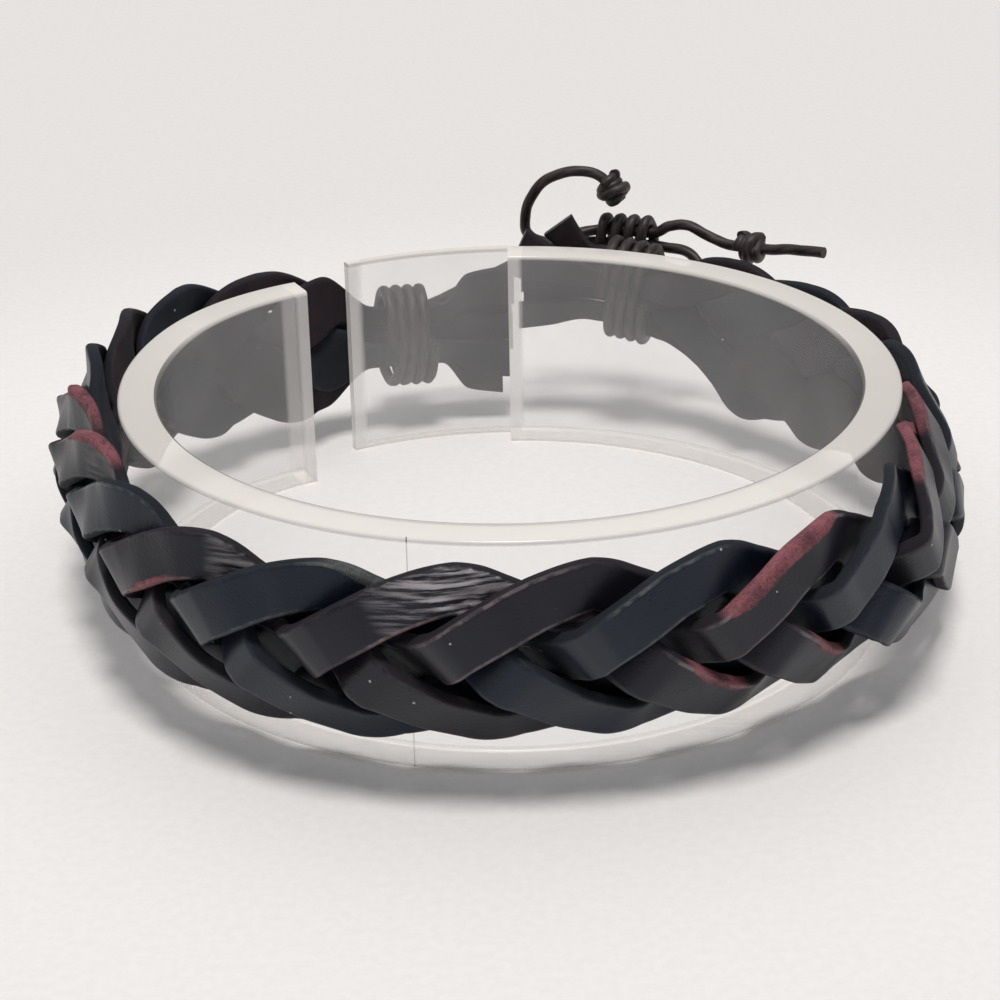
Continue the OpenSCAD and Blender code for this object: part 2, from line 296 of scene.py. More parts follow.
def makeDust():
    # sparse pale specks
    group, given, end = newGroup(
        "dustSpecks", "ShaderNodeTree",
        [("Vector", "Vector"), ("Scale", "Float", 450.0), ("Size", "Float", 0.06),
         ("Choice Scale", "Float", 420.0)],
        [("Mask", "Float")])
    spots = addNode(group, "ShaderNodeTexVoronoi",
                    {"Vector": given["Vector"], "Scale": given["Scale"]}, "Distance")
    chosen = given["Vector"].noise(given["Choice Scale"], 0.0)
    feed(end, {"Mask": (spots < given["Size"]) * (chosen > 0.6)})
    return group


grain, fuzz, dust = makeGrain(), makeFuzz(), makeDust()


def groupNode(group, inputs):
    return addNode(inputs["Vector"].tree, "ShaderNodeGroup", inputs, node_tree=group)


def newMaterial(name, values):
    material = bpy.data.materials.new(name)
    material.use_nodes = True
    tree = material.node_tree
    shader = tree.nodes["Principled BSDF"]
    feed(shader, values)
    return material, shader, addNode(tree, "ShaderNodeTexCoord", {}, "Object")


def mixColour(share, first, second):
    return addNode(share.tree, "ShaderNodeMix", {"Factor": share, 6: first, 7: second}, 2,
                   data_type="RGBA")


def dusted(colour, solid, look):
    specks = groupNode(dust, {"Vector": solid, "Scale": look["dustScale"],
                              "Size": look["dustSize"]})
    return mixColour(specks * look["dustShare"], colour, look["dustTone"])


def attribute(tree, label, out="Fac"):
    return addNode(tree, "ShaderNodeAttribute", {}, out, attribute_name=label)


def rawness(x, lower, upper):
    # how raw the nearer of a strip's two cut edges is
    return lower + (x > 0.0) * (upper - lower)


def bumpFrom(height, strength, distance):
    return addNode(height.tree, "ShaderNodeBump",
                   {"Height": height, "Strength": strength, "Distance": distance * mm})


leather = {
    "width": 3.5, "thickness": 1.0, "corner": 0.30, "braidWidth": 13.5, "cadWidth": 3.3,
    "radius": 32.6, "height": 11.0, "turn": 75.0, "firstCrest": -8.35, "straighten": 0.1,
    "rightPitches": 9.75, "leftPitches": 10.75, "fade": 4.0, "leanFade": 6.0,
    "step": 0.36, "slopeStep": 0.4, "steepLimit": 1.5,
    # a section's points on each broad face, narrow face and corner
    "section": (16, 3, 3),
    # the bow across the braid: its radius, what it adds to the zigzag and the share of
    # leaning that it leaves
    "bowRadius": 16.7, "bowedZigzag": (-0.76, 0.85, -0.44, -0.20),
    "flatBow": 0.001, "bowedLean": 0.15,
    "tailTurnFrom": 166.0, "tailTurnRun": 8.0, "tailOpens": 0.6,
    # wrinkles: height in mm, waves to the metre, how they are stretched along the loop
    "wrinkleHeight": 0.16, "wrinkleScale": 1500.0, "wrinkleStretch": (0.32, 0.32, 1.0),
    # how far the next strip's wrinkles and grain are moved on
    "wrinkleSeed": 0.11, "toneSeed": 0.37,
    # share of one turn, lift in mm, lean in degrees
    "fold": [(0.000, 0.00, 0), (0.030, 0.47, 2), (0.060, 0.79, -2), (0.100, 0.96, -13),
             (0.140, 1.24, -17), (0.180, 1.38, -2), (0.205, 1.50, 14), (0.225, 1.21, 24),
             (0.240, 0.60, 29), (0.250, 0.00, 30)],
    # share of one turn, share of the flare
    "tip": [(0.08, 0), (0.14, 0.6), (0.18, 0.95), (0.205, 1), (0.225, 0.45), (0.24, 0.1),
            (0.25, 0)],
    # angle, push outwards in mm, rise in mm, share of the full width, flare in mm,
    # share of the full bow
    "course": [(-180, 1.3, 2.2, 0.72, 0, 0), (-173, 1.3, 2.2, 0.64, 0, 0),
               (-167, 1.3, 2, 0.5, 0, 0), (-155, 1.3, 1.1, 0.5, 0, 0),
               (-146, 0.8, -0.1, 0.9, 0, 0), (-138, 0.3, -0.8, 1, 0, 0),
               (-120, 0.2, -1, 1, 0, 0), (-102, 0.3, -0.3, 1, 0, 0.3), (-86, 0.5, 0.5, 1, 0, 0.85),
               (-74, 0.6, 0.9, 1, 0, 1), (-62, 0.95, 0.9, 1, 0.2, 1),
               (-52, 1.3, 0.6, 1, 1.1, 1), (-48, 1.4, 0.5, 1, 1.2, 1), (-43, 1.5, 0.45, 1, 0.3, 1),
               (-28, 1.65, 0.72, 1, 0.5, 1), (0, 1.6, 0.95, 1, 0.3, 1),
               (28, 1.65, 0.2, 1, 0.4, 1), (50, 0.95, 0.3, 1, 0.2, 0.5),
               (70, -0.2, 0.7, 1, 0.2, 0.1), (93, 0.1, 0.9, 1, 1.1, 0), (108, 0.7, 0.8, 1, 1.6, 0),
               (121, 1.6, 0.3, 1, 1.9, 0), (134, 1.7, -0.5, 1, 1, 0),
               (144, 1.4, -1.3, 1, 0.3, 0), (151, 1.3, -1.8, 0.96, 0, 0),
               (159, 1.3, -2.4, 0.49, 0, 0), (170, 1.3, -2.7, 0.49, 0, 0),
               (174, 1.3, -2.8, 0.9, 0, 0), (180, 1.3, -2.8, 1, 0, 0)],
    # share of one turn between two crossings; then how much broader the hidden strip lies
    # and how far it slips towards the middle in mm, first above the middle, then below it
    "hidden": [(0.00, 1.0, 0.0, 1.0, 0.0), (0.19, 1.0, 0.0, 1.0, 0.0),
               (0.235, 1.12, 0.3, 1.15, -0.2), (0.29, 1.26, 0.9, 1.7, -1.1),
               (0.36, 1.32, 1.35, 1.85, -0.85), (0.43, 1.28, 1.1, 1.7, -0.05),
               (0.47, 1.10, 0.4, 1.4, 0.1), (0.50, 1.0, 0.0, 1.0, 0.0)],
    # angles between which the hidden strips stop slipping, to each side of the front
    "slipEnds": (70.0, 110.0),
    # angle, how far the braid faces upwards in degrees
    "tilt": [(-180, 0), (-118, 0), (-100, 9), (-86, 18), (-72, 18), (-60, 8), (-50, -3),
             (-42, -8.8), (28, -8.8), (50, -4.4), (70, -0.4), (93, 0), (180, 0)],
    # angle, share of the full lift
    "calm": [(-180, 1.0), (-125, 1.0), (-100, 0.6), (-72, 0.55), (-60, 0.85), (-50, 1.0),
             (180, 1.0)],
    # finish, right tail's end, left tail's end, how far the right tail turns up;
    # angle, half length in degrees and strength of its wrinkles, then of its bends' painted
    # highlight;
    # and where its cut edges are raw, with 1 for the upper and -1 for the lower edge
    "strips": [("brown", -172, 180.8, 3.6, [(66, 3, 0.15)], [(8, 1.6, 0.25), (83, 2, 0.5)],
                [(1, 1, 9, 0.45), (-1, 1, 10, 0.40), (1, -36, 7, 0.73), (1, 70, 10, 0.8),
                 (1, -83, 12, 0.9)]),
               ("brown", -178.2, 181.3, 0.6, [(3.5, 12, 1.1)], [(22, 1.6, 0.4), (-53, 2, 0.5)],
                [(-1, 12, 7, 0.62), (1, -21, 7, 0.73), (1, 85, 12, 0.8), (1, -68, 12, 1.0)]),
               ("navy", -177.3, 181.0, 0.0, [], [(36.5, 1.6, 1.0), (-38, 1.6, 0.3)],
                [(1, 16, 8, 0.75), (-1, 27, 9, 0.25), (1, -54, 6, 0.3)]),
               ("brown", -178.0, 179.3, 0.0, [(32.5, 4.5, 0.5)], [(51.5, 2.0, 0.8)],
                [(1, 25, 5, 0.6), (-1, 45, 8, 0.72), (1, -31, 10, 1.0), (-1, -30, 9, 0.3)]),
               ("navy", -177.6, 180.5, 0.0, [], [(67, 2.2, 0.8), (-8, 1.6, 0.35)],
                [(1, -17, 7, 0.45), (-1, -16, 9, 0.3), (1, 55, 9, 0.3)])],
    # longest loose fibre, its foot, and fibres for each square metre of a fully raw edge
    "fibreLength": 0.55, "fibreWidth": 0.045, "fibreDensity": 2.2e7, "fibreTilt": 1.1,
}

# the pale tones at the waxy creases and at the bends are painted highlights, the creases also
# being waxy
leatherTones = {
    "brown": {"dark": (0.0066, 0.0052, 0.0096, 1), "light": (0.0122, 0.0098, 0.0158, 1),
              "edge": (0.0120, 0.0082, 0.0110, 1), "raw": (0.285, 0.092, 0.108, 1),
              "worn": (0.260, 0.205, 0.205, 1), "flesh": (0.0300, 0.0150, 0.0180, 1),
              "waxAndPaintedHighlight": (0.500, 0.465, 0.480, 1), "bent": (0.062, 0.056, 0.062, 1)},
    "navy": {"dark": (0.0036, 0.0060, 0.0138, 1), "light": (0.0070, 0.0108, 0.0220, 1),
             "edge": (0.0085, 0.0098, 0.0145, 1), "raw": (0.120, 0.122, 0.118, 1),
             "worn": (0.160, 0.170, 0.172, 1), "flesh": (0.0140, 0.0150, 0.0220, 1),
             "waxAndPaintedHighlight": (0.070, 0.075, 0.085, 1), "bent": (0.050, 0.054, 0.058, 1)},
}
leatherLook = {
    "ior": 1.48, "specular": 0.43, "specularTint": (0.83, 0.92, 1.0, 1),
    # scales are in waves to the metre, breadths and distances in mm
    "poreScale": 3000.0, "creaseScale": 800.0, "creaseShare": 0.6, "fibreScale": 4800.0,
    "dustScale": 520.0, "dustSize": 0.055, "dustShare": 0.8, "dustTone": (0.50, 0.49, 0.48, 1),
    "unevenScale": 1500.0, "rawBreadth": 0.85, "ragged": 0.35, "sideFrom": 0.45, "sideTo": 0.75,
    "faceRough": (0.32, 0.46), "cutRough": 0.45, "bumpStrength": 0.35, "bumpDistance": 0.03,
    "sideBump": 4.0,
    # waxy creases, painted with a pale highlight, lie level with the loop, so they are stretched
    # sideways
    "streakScale": 3000.0, "streakStretch": (0.08, 0.08, 1.0), "streakRange": (0.39, 0.64),
    "creaseCoat": 0.6, "coatRough": 0.22, "creaseBump": 2.5,
    # the last share is how strongly the painted highlight at the bends shows
    "lineShare": 0.08, "lineRaw": 1.1, "bendHighlightShare": 1.0,
}


def makeLeather(name, tones):
    look = leatherLook
    material, shader, solid = newMaterial(name, {
        "IOR": look["ior"], "Specular IOR Level": look["specular"],
        "Specular Tint": look["specularTint"], "Coat Roughness": look["coatRough"]})
    tree = solid.tree
    x, y = attribute(tree, "sectionPlace", "Vector").parts()
    surface = addNode(tree, "ShaderNodeCombineXYZ",
                      {"X": x, "Y": attribute(tree, "along"), "Z": attribute(tree, "stripSeed")})
    face = groupNode(grain, {"Vector": surface, "Pore Scale": look["poreScale"],
                             "Crease Scale": look["creaseScale"],
                             "Crease Share": look["creaseShare"]})
    fibres = groupNode(fuzz, {"Vector": solid, "Scale": look["fibreScale"]})
    faceTone, fibreTone = face.other("Tone"), fibres.other("Tone")
    halfWidth = leather["width"] / 2 * mm
    halfThick = leather["thickness"] / 2 * mm
    corner = leather["corner"] * mm

    # how far inwards a raw edge's suede reaches, and where the edge and the inner side are
    raw = rawness(x, attribute(tree, "rawLower"), attribute(tree, "rawUpper"))
    uneven = solid.noise(look["unevenScale"], 3.0)
    ragged = (uneven - 0.5) * (look["ragged"] * mm)
    breadth = raw.spread(0.5, 1.0, 0.0, look["rawBreadth"] * mm)
    side = (abs(x) + (ragged + breadth)).spread(halfWidth - corner * 0.7,
                                                halfWidth - corner * 0.1)
    under = y.spread(-halfThick + corner * 0.8, -halfThick + corner * 0.2)
    outer = y.spread(0.0, halfThick * 0.7)

    # the edge's own colour, the raw suede, and a worn line along the outer corner
    suede = raw.spread(look["sideFrom"], look["sideTo"]) * fibreTone.spread(0.0, 0.9, 0.25, 1.0)
    edge = mixColour(suede, tones["edge"], tones["raw"])
    thin = abs(x) + ragged * 0.3
    line = (thin.spread(halfWidth - corner * 1.15, halfWidth - corner * 0.8)
            * thin.spread(halfWidth - corner * 0.45, halfWidth - corner * 0.1, 1.0, 0.0) * outer)
    worn = uneven.spread(0.35, 0.65, 0.3, 1.0) * (raw * look["lineRaw"] + look["lineShare"])
    wear = (line * worn).clamped() * raw.spread(0.6, 0.85, 1.0, 0.0)

    # streaks of waxy creases where the strip is wrinkled, painted a pale highlight tone and given
    # a coat
    streaks = addNode(tree, "ShaderNodeMapping", {
        "Vector": solid, "Scale": look["streakStretch"]}).noise(look["streakScale"], 4.0, 0.6, 0.2)
    wrinkled = attribute(tree, "wrinkle") * outer
    creases = streaks.spread(*look["streakRange"]) * wrinkled

    colour = mixColour(faceTone.spread(0.3, 0.7), tones["dark"], tones["light"])
    # a paler tone where the strip bends: painted highlight
    colour = mixColour(attribute(tree, "bent") * outer * look["bendHighlightShare"], colour,
                       tones["bent"])
    # the waxy creases are painted a pale highlight tone
    colour = mixColour(creases, colour, tones["waxAndPaintedHighlight"])
    colour = mixColour(side, colour, edge)
    colour = mixColour(wear, colour, tones["worn"])
    colour = mixColour(under, colour, mixColour(fibreTone, tones["edge"], tones["flesh"]))
    colour = dusted(colour, solid, look)
    cut = side.reckon("MAXIMUM", under)
    smooth = cut * -1.0 + 1.0
    rough = faceTone.spread(0.2, 0.8, *look["faceRough"]) + cut * look["cutRough"]
    relief = face * smooth + fibres * (side * look["sideBump"] + cut)
    relief += streaks * look["creaseBump"] * wrinkled
    feed(shader, {"Base Color": colour, "Roughness": rough.clamped(),
                  "Coat Weight": creases * smooth * look["creaseCoat"],
                  "Normal": bumpFrom(relief, look["bumpStrength"], look["bumpDistance"])})
    return material


leatherFinish = {finish: makeLeather(finish + "Leather", tones)
                 for finish, tones in leatherTones.items()}


def sectionLoop(name, facePoints, edgePoints, cornerPoints):
    # a rounded oblong in unit form: each point has its corner's place and its own direction
    cores, corners = [], []
    signs = [(1, 1), (-1, 1), (-1, -1), (1, -1)]
    for k, (x, y) in enumerate(signs):
        for i in range(cornerPoints + 1):
            turn = math.radians(90 * (k + i / cornerPoints))
            cores.append((x, y, 0))
            corners.append((math.cos(turn), math.sin(turn), 0))
        nextX, nextY = signs[(k + 1) % 4]
        count = facePoints if k % 2 == 0 else edgePoints
        for i in range(1, count + 1):
            t = i / (count + 1)
            cores.append((x + (nextX - x) * t, y + (nextY - y) * t, 0))
            turn = math.radians(90 * (k + 1))
            corners.append((math.cos(turn), math.sin(turn), 0))
    # the tree sets the real places, so these only show the loop's form
    points = [(a[0] + b[0] * 0.1, a[1] + b[1] * 0.1, 0) for a, b in zip(cores, corners)]
    loop = guideLine(name, points, {"core": cores, "corner": corners}, closed=True)
    loop.hide_render = True
    return loop


def makeSweep():
    # carries a rounded oblong section along a line that says which way is across and outwards
    tree, given, end = geometryTree("sweepSection", [
        ("Section", "Object"), ("Width", "Float", 0.003), ("Thickness", "Float", 0.001),
        ("Corner", "Float", 0.0002), ("Wrinkle Height", "Float", 0.0), ("Seed", "Float", 0.0),
        ("Fibre Density", "Float", 0.0), ("Fibre Length", "Float", 0.0005),
        ("Fibre Width", "Float", 0.00004), ("Fibre Seed", "Int", 1), ("Material", "Material")])

    def way(label):
        return named(tree, label, "FLOAT_VECTOR")

    def flat(x, y=0.0):
        return addNode(tree, "ShaderNodeCombineXYZ", {"X": x, "Y": y})

    line = addNode(tree, "GeometryNodeMeshToCurve", {"Mesh": given["Geometry"]})
    line = store(line, "centre", addNode(tree, "GeometryNodeInputPosition"), "FLOAT_VECTOR")
    shape = addNode(tree, "GeometryNodeObjectInfo", {"Object": given["Section"]}, "Geometry")
    shape = addNode(tree, "GeometryNodeMeshToCurve", {"Mesh": shape})
    half = flat(given["Width"], given["Thickness"]).vector("SCALE", 0.5)
    half = half.vector("SUBTRACT", flat(given["Corner"], given["Corner"]))
    unitPlace = way("core").vector("MULTIPLY", half).vector(
        "ADD", way("corner").vector("SCALE", given["Corner"]))
    shape = store(shape, "sectionPlace", unitPlace, "FLOAT_VECTOR")
    shape = addNode(tree, "GeometryNodeSetPosition",
                    {"Geometry": shape, "Position": way("sectionPlace")})
    skin = addNode(tree, "GeometryNodeCurveToMesh",
                   {"Curve": line, "Profile Curve": shape, "Fill Caps": True})
    x, y = way("sectionPlace").parts()
    outwards = way("outwards")
    where = way("centre").vector("ADD", way("across").vector("SCALE", x).vector(
        "ADD", outwards.vector("SCALE", y)))
    skin = addNode(tree, "GeometryNodeSetPosition", {"Geometry": skin, "Position": where})
    # wrinkles run along the loop where the guide asks for them, on the outer face alone
    ripples = addNode(tree, "GeometryNodeInputPosition").vector(
        "MULTIPLY", leather["wrinkleStretch"]).vector(
        "ADD", flat(given["Seed"])).noise(leather["wrinkleScale"], 2.0, 0.55, 0.8)
    ripples = ripples.spread(0.34, 0.66, -0.5, 0.5) * y.spread(0.0, 0.0004)
    amount = ripples * (named(tree, "wrinkle") * given["Wrinkle Height"])
    skin = addNode(tree, "GeometryNodeSetPosition",
                   {"Geometry": skin, "Offset": outwards.vector("SCALE", amount)})
    # loose fibres stand on the cut edges where they are raw
    isEdge = abs(x) > given["Width"] * 0.5 - given["Corner"] * 0.6
    raw = rawness(x, named(tree, "rawLower"), named(tree, "rawUpper"))
    feet = addNode(tree, "GeometryNodeDistributePointsOnFaces",
                   {"Mesh": skin, "Density": raw * raw * (isEdge * given["Fibre Density"]),
                    "Seed": given["Fibre Seed"]}, "Points", distribute_method="RANDOM")
    fibre = addNode(tree, "GeometryNodeMeshCone",
                    {"Vertices": 3, "Radius Top": 0.0, "Radius Bottom": given["Fibre Width"] * 0.5,
                     "Depth": given["Fibre Length"]}, "Mesh", fill_type="NONE")
    tilt = addNode(tree, "FunctionNodeRandomValue",
                   {"Min": (-leather["fibreTilt"], -leather["fibreTilt"], 0.0),
                    "Max": (leather["fibreTilt"], leather["fibreTilt"], 6.28),
                    "Seed": given["Fibre Seed"]}, "Value", data_type="FLOAT_VECTOR")
    size = addNode(tree, "FunctionNodeRandomValue",
                   {"Min": 0.25, "Max": 1.0, "Seed": given["Fibre Seed"]}, "Value",
                   data_type="FLOAT")
    hairs = addNode(tree, "GeometryNodeInstanceOnPoints",
                    {"Points": feet, "Instance": fibre, "Rotation": feet.other("Rotation"),
                     "Scale": size})
    hairs = addNode(tree, "GeometryNodeRotateInstances", {"Instances": hairs, "Rotation": tilt})
    # a join takes both links in its one socket
    both = addNode(tree, "GeometryNodeJoinGeometry", {0: hairs})
    feed(both.socket.node, {0: skin})
    finishTree(both, given["Material"], end)
    return tree


sweepSection = makeSweep()


class Braid:
    # the rule of the flat braid: how each strip swings, lifts and leans round the loop
    def __init__(self, rule):
        self.rule = rule
        self.pitch = rule["turn"] / len(rule["strips"])
        self.swing = (rule["braidWidth"] - rule["cadWidth"]) / 2
        self.rightEnd = rule["firstCrest"] - rule["rightPitches"] * self.pitch
        self.leftEnd = rule["firstCrest"] + rule["leftPitches"] * self.pitch
        self.liftTable = smoothTable(rule["fold"], 1)
        self.leanTable = smoothTable(rule["fold"], 2)
        self.tipTable = smoothTable(rule["tip"], 1)
        self.hidden = [smoothTable(rule["hidden"], k) for k in range(1, 5)]
        self.calm = smoothTable(rule["calm"], 1)
        self.tilt = smoothTable(rule["tilt"], 1)
        self.push, self.rise, self.share, self.flare, self.bow = (
            smoothTable(rule["course"], k) for k in range(1, 6))

    def held(self, x):
        # the smaller of x and 0, rounded off where they meet
        fade = self.rule["fade"]
        return x if x <= -fade else 0.0 if x >= fade else -(fade - x) ** 2 / (4 * fade)

    def phase(self, strip, angle):
        # how many turns of its course a strip has run; it stands still past the braid's ends
        still = (self.leftEnd + self.held(angle - self.leftEnd) if angle > 0
                 else self.rightEnd - self.held(self.rightEnd - angle))
        return (still - self.rule["firstCrest"] - strip * self.pitch) / self.rule["turn"]

    def middle(self, strip, angle):
        # how far a strip's middle lies aside, and how far it is lifted
        p = self.phase(strip, angle)
        s = self.rule["straighten"]
        waves = [math.cos(math.tau * p * k) for k in range(4)]
        added = sum(a * b for a, b in zip(self.rule["bowedZigzag"], waves))
        aside = self.swing * ((1 - s) * waves[1] + s * waves[3]) + self.bow(angle) * added
        q = (2 * p) % 1 / 2
        lift = self.liftTable(q) if q <= 0.25 else -self.liftTable(0.5 - q)
        return aside, self.calm(angle) * lift + self.flare(angle) * self.tipTable(q)

    def broad(self, strip, angle):
        # a strip lies broader where it is hidden under the others
        p = self.phase(strip, angle) % 1
        full = self.hidden[2 if p < 0.5 else 0](p * 2 % 1 / 2)
        return 1 + (full - 1) * self.still(angle)

    def slip(self, strip, angle):
        # a hidden strip lies nearer to the braid's middle round the front
        start, end = self.rule["slipEnds"]
        share = min(1, max(0, (end - abs(angle)) / (end - start)))
        p = self.phase(strip, angle) % 1
        below = p < 0.5
        return share * self.hidden[3 if below else 1](p * 2 % 1 / 2) * (1 if below else -1)

    def still(self, angle):
        # 1 on the braid, falling to 0 past its ends
        past = max(angle - self.leftEnd, self.rightEnd - angle)
        return min(1, max(0, 1 - past / self.rule["leanFade"]))

    def bowed(self, angle, v, out):
        # a sideways place and a distance from the middle layer, as a distance and a height
        share = max(self.bow(angle), self.rule["flatBow"])
        r = self.rule["bowRadius"] / share
        start = math.radians(self.tilt(angle))
        turn = start + v / r
        return (r * (math.cos(turn) - math.cos(start)) + out * math.cos(turn),
                r * (math.sin(turn) - math.sin(start)) + out * math.sin(turn))

    def lean(self, strip, angle):
        # how far a strip leans about its own run, in degrees
        q = self.phase(strip, angle) % 1
        h = q % 0.5
        left = 1 - (1 - self.rule["bowedLean"]) * self.bow(angle)
        return ((1 if q < 0.5 else -1) * left * self.leanTable(min(h, 0.5 - h))
                * self.still(angle))

    def point(self, strip, angle, acrossBy=0.0, outBy=0.0):
        # a place so many millimetres across a strip and out of its face
        rule, step = self.rule, self.rule["slopeStep"]
        aside, lift = self.middle(strip, angle)
        before, after = self.middle(strip, angle - step), self.middle(strip, angle + step)
        run = 2 * step * rule["radius"] * math.pi / 180
        slope = math.atan((after[0] - before[0]) / run)
        dive = math.atan((after[1] - before[1]) / run * math.cos(slope))
        turn = math.radians(self.lean(strip, angle))
        outBy *= min(rule["steepLimit"], 1 / math.cos(dive))
        # the strip keeps its full width in plan however far it leans
        across = acrossBy - outBy * math.sin(turn)
        out = acrossBy * math.sin(turn) + outBy * math.cos(turn)
        a = angle - math.degrees(across * math.sin(slope) / rule["radius"])
        v = aside + across * math.cos(slope)
        turned = max(0, -angle - rule["tailTurnFrom"]) / rule["tailTurnRun"]
        tailUp = rule["strips"][strip][3] * turned * turned
        outwards, up = self.bowed(a, self.share(a) * v, lift + out)
        return place(a, rule["radius"] + self.push(a) + outwards,
                     rule["height"] + self.rise(a) + up + tailUp)


braid = Braid(leather)


def makeStrip(number, section):
    rule = leather
    finish, right, left, turnUp, wrinkles, bendHighlights, rawEdges = rule["strips"][number]
    angles = evenly(right, left, rule["step"])
    centres = [braid.point(number, a, braid.slip(number, a)) for a in angles]
    reach, depth = 1.0, 0.5
    across = [(braid.point(number, a, reach) - braid.point(number, a, -reach))
              * (braid.broad(number, a) / (2 * reach * mm)) for a in angles]
    outwards = [(braid.point(number, a, 0, depth) - braid.point(number, a, 0, -depth))
                / (2 * depth * mm) for a in angles]
    for i, a in enumerate(angles[:-1]):
        if turnUp > 0 and a < -rule["tailTurnFrom"]:
            # a tail that turns up stays square to its own run and opens out
            opened = 1 - rule["tailOpens"] * (a + rule["tailTurnFrom"]) / rule["tailTurnRun"]
            square = outwards[i].cross(centres[i + 1] - centres[i]).normalized()
            square *= across[i].length * opened
            across[i] = square if square.dot(across[i]) > 0 else -square
    along = [0.0]
    for a, b in zip(centres, centres[1:]):
        along.append(along[-1] + (b - a).length)

    def patches(rows, power=4):
        return [max([strength * max(0, 1 - abs((a - middle) / half) ** power)
                     for middle, half, strength in rows] + [0.0]) for a in angles]

    # one attribute marks the bends, where a painted highlight lies on the face
    guide = guideLine(f"strand{number + 1}", centres,
                      {"across": across, "outwards": outwards, "along": along,
                       "wrinkle": patches(wrinkles, 2), "bent": patches(bendHighlights),
                       "rawUpper": patches([row[1:] for row in rawEdges if row[0] > 0]),
                       "rawLower": patches([row[1:] for row in rawEdges if row[0] < 0]),
                       "stripSeed": [number * rule["toneSeed"]] * len(angles)})
    strip = grow(guide, sweepSection, {
        "Section": section, "Width": rule["width"] * mm, "Thickness": rule["thickness"] * mm,
        "Corner": rule["corner"] * mm, "Wrinkle Height": rule["wrinkleHeight"] * mm,
        "Seed": number * rule["wrinkleSeed"], "Fibre Density": rule["fibreDensity"],
        "Fibre Length": rule["fibreLength"] * mm, "Fibre Width": rule["fibreWidth"] * mm,
        "Fibre Seed": number + 1, "Material": leatherFinish[finish]},
        keep=("sectionPlace", "along", "stripSeed", "wrinkle", "bent", "rawUpper",
              "rawLower"))
    standsFor(strip, f"strand_{number + 1}")
    return strip


stripSection = sectionLoop("stripSection", *leather["section"])
for number in range(len(leather["strips"])):
    strip = makeStrip(number, stripSection)
    print(strip.name, len(strip.data.polygons), "faces")
bpy.data.objects.remove(stripSection)
print("strips braided")


cordage = {
    "diameter": 1.0, "plies": 3, "twistPitch": 2.6, "twistDepth": 0.05, "sides": 18,
    "bindingTurns": 4, "bindingUp": 4.25, "bindingOut": 3.05, "bindingPitch": 1.08,
    "leftBinding": 164.2, "rightBinding": -160.5,
    "knotFrom": 193.3, "knotTo": 200.7, "knotRadius": 39.4, "knotHeight": 15.6,
    "knotTurns": 4, "knotUp": 1.75, "knotOut": 1.1,
    # a stopper is wound along the middle of its stretch, then once back over itself
    "stopperTurns": 3, "stopperBack": 1.25, "stopperReach": 0.80, "stopperOver": 1.05,
    "stopperTrim": 0.22, "stopperSkip": 4,
    # points for each stretch of a route, for each turn of a winding, degrees along a core
    "routeSteps": 10, "stopperSteps": 30, "knotSteps": 36, "bindingSteps": 40, "coreStep": 0.92,
    # points along a cord, and how its cut ends are rounded off, in mm and as a share
    "spacing": 0.16, "tipRun": 0.6, "tipLeast": 0.12,
    # angle, distance from the axis and height of each point, in degrees and mm
    "left": [(161.8, 38.1, 8.3), (165.3, 38.0, 8.7), (171.0, 37.6, 10.2), (177.5, 37.4, 12.2),
             (184.0, 37.7, 14.2), (189.0, 38.6, 15.7), (193.0, 39.4, 16.2), (197.0, 39.4, 16.2),
             (200.6, 39.4, 16.3), (202.4, 39.5, 17.0), (205.0, 39.6, 17.2), (209.0, 39.4, 16.3),
             (212.0, 39.4, 16.0), (216.2, 39.4, 16.2), (220.0, 39.4, 16.7), (225.0, 39.6, 17.1)],
    "right": [(202.5, 38.1, 12.4), (205.5, 38.2, 12.6), (207.4, 38.5, 13.6), (205.2, 39.2, 14.8),
              (201.0, 39.4, 15.0), (197.0, 39.4, 15.0), (193.0, 39.4, 15.0), (189.0, 39.8, 14.8),
              (185.2, 40.1, 14.6), (183.0, 39.9, 15.6), (182.9, 39.5, 17.4), (183.7, 39.2, 19.2),
              (185.6, 39.1, 20.8), (188.2, 39.0, 21.6), (191.0, 39.0, 21.8), (193.2, 39.0, 21.3),
              (194.6, 39.0, 20.3), (196.0, 39.0, 19.2)],
    "leftStopper": (12, 13), "rightStopper": (15, 17),
}


cordLook = {
    "ior": 1.46, "patchScale": 380.0, "fibreScale": 3800.0, "rough": (0.38, 0.6),
    "dark": (0.017, 0.011, 0.011, 1), "light": (0.050, 0.034, 0.030, 1),
    # the grooves between the plies take a darker tone: painted shade
    "grooveShade": (0.008, 0.006, 0.006, 1), "dustTone": (0.4, 0.38, 0.36, 1),
    "dustScale": 700.0, "dustSize": 0.05, "dustShare": 0.5,
    "bumpStrength": 0.4, "bumpDistance": 0.04,
}


def smoothLine(points, steps):
    # a smooth line through points, with so many steps from each to the next
    line, last = [], len(points) - 1
    for i in range(last):
        a, b, c, d = (points[max(0, i - 1)], points[i], points[i + 1], points[min(last, i + 2)])
        for k in range(steps):
            t = k / steps
            line.append(0.5 * (2 * b + (c - a) * t + (2 * a - 5 * b + 4 * c - d) * t * t
                               + (3 * b - a - 3 * c + d) * t ** 3))
    return line + [points[last]]


def route(rows):
    return smoothLine([place(*row) for row in rows], cordage["routeSteps"])


def evenLine(line, spacing):
    # the same line with points a fixed distance apart
    lengths = [0.0]
    for a, b in zip(line, line[1:]):
        lengths.append(lengths[-1] + (b - a).length)
    count = max(2, round(lengths[-1] / spacing))
    points, k = [], 0
    for i in range(count + 1):
        want = lengths[-1] * i / count
        while k < len(line) - 2 and lengths[k + 1] < want:
            k += 1
        points.append(line[k].lerp(line[k + 1], (want - lengths[k])
                                   / (lengths[k + 1] - lengths[k])))
    return points, lengths[-1]


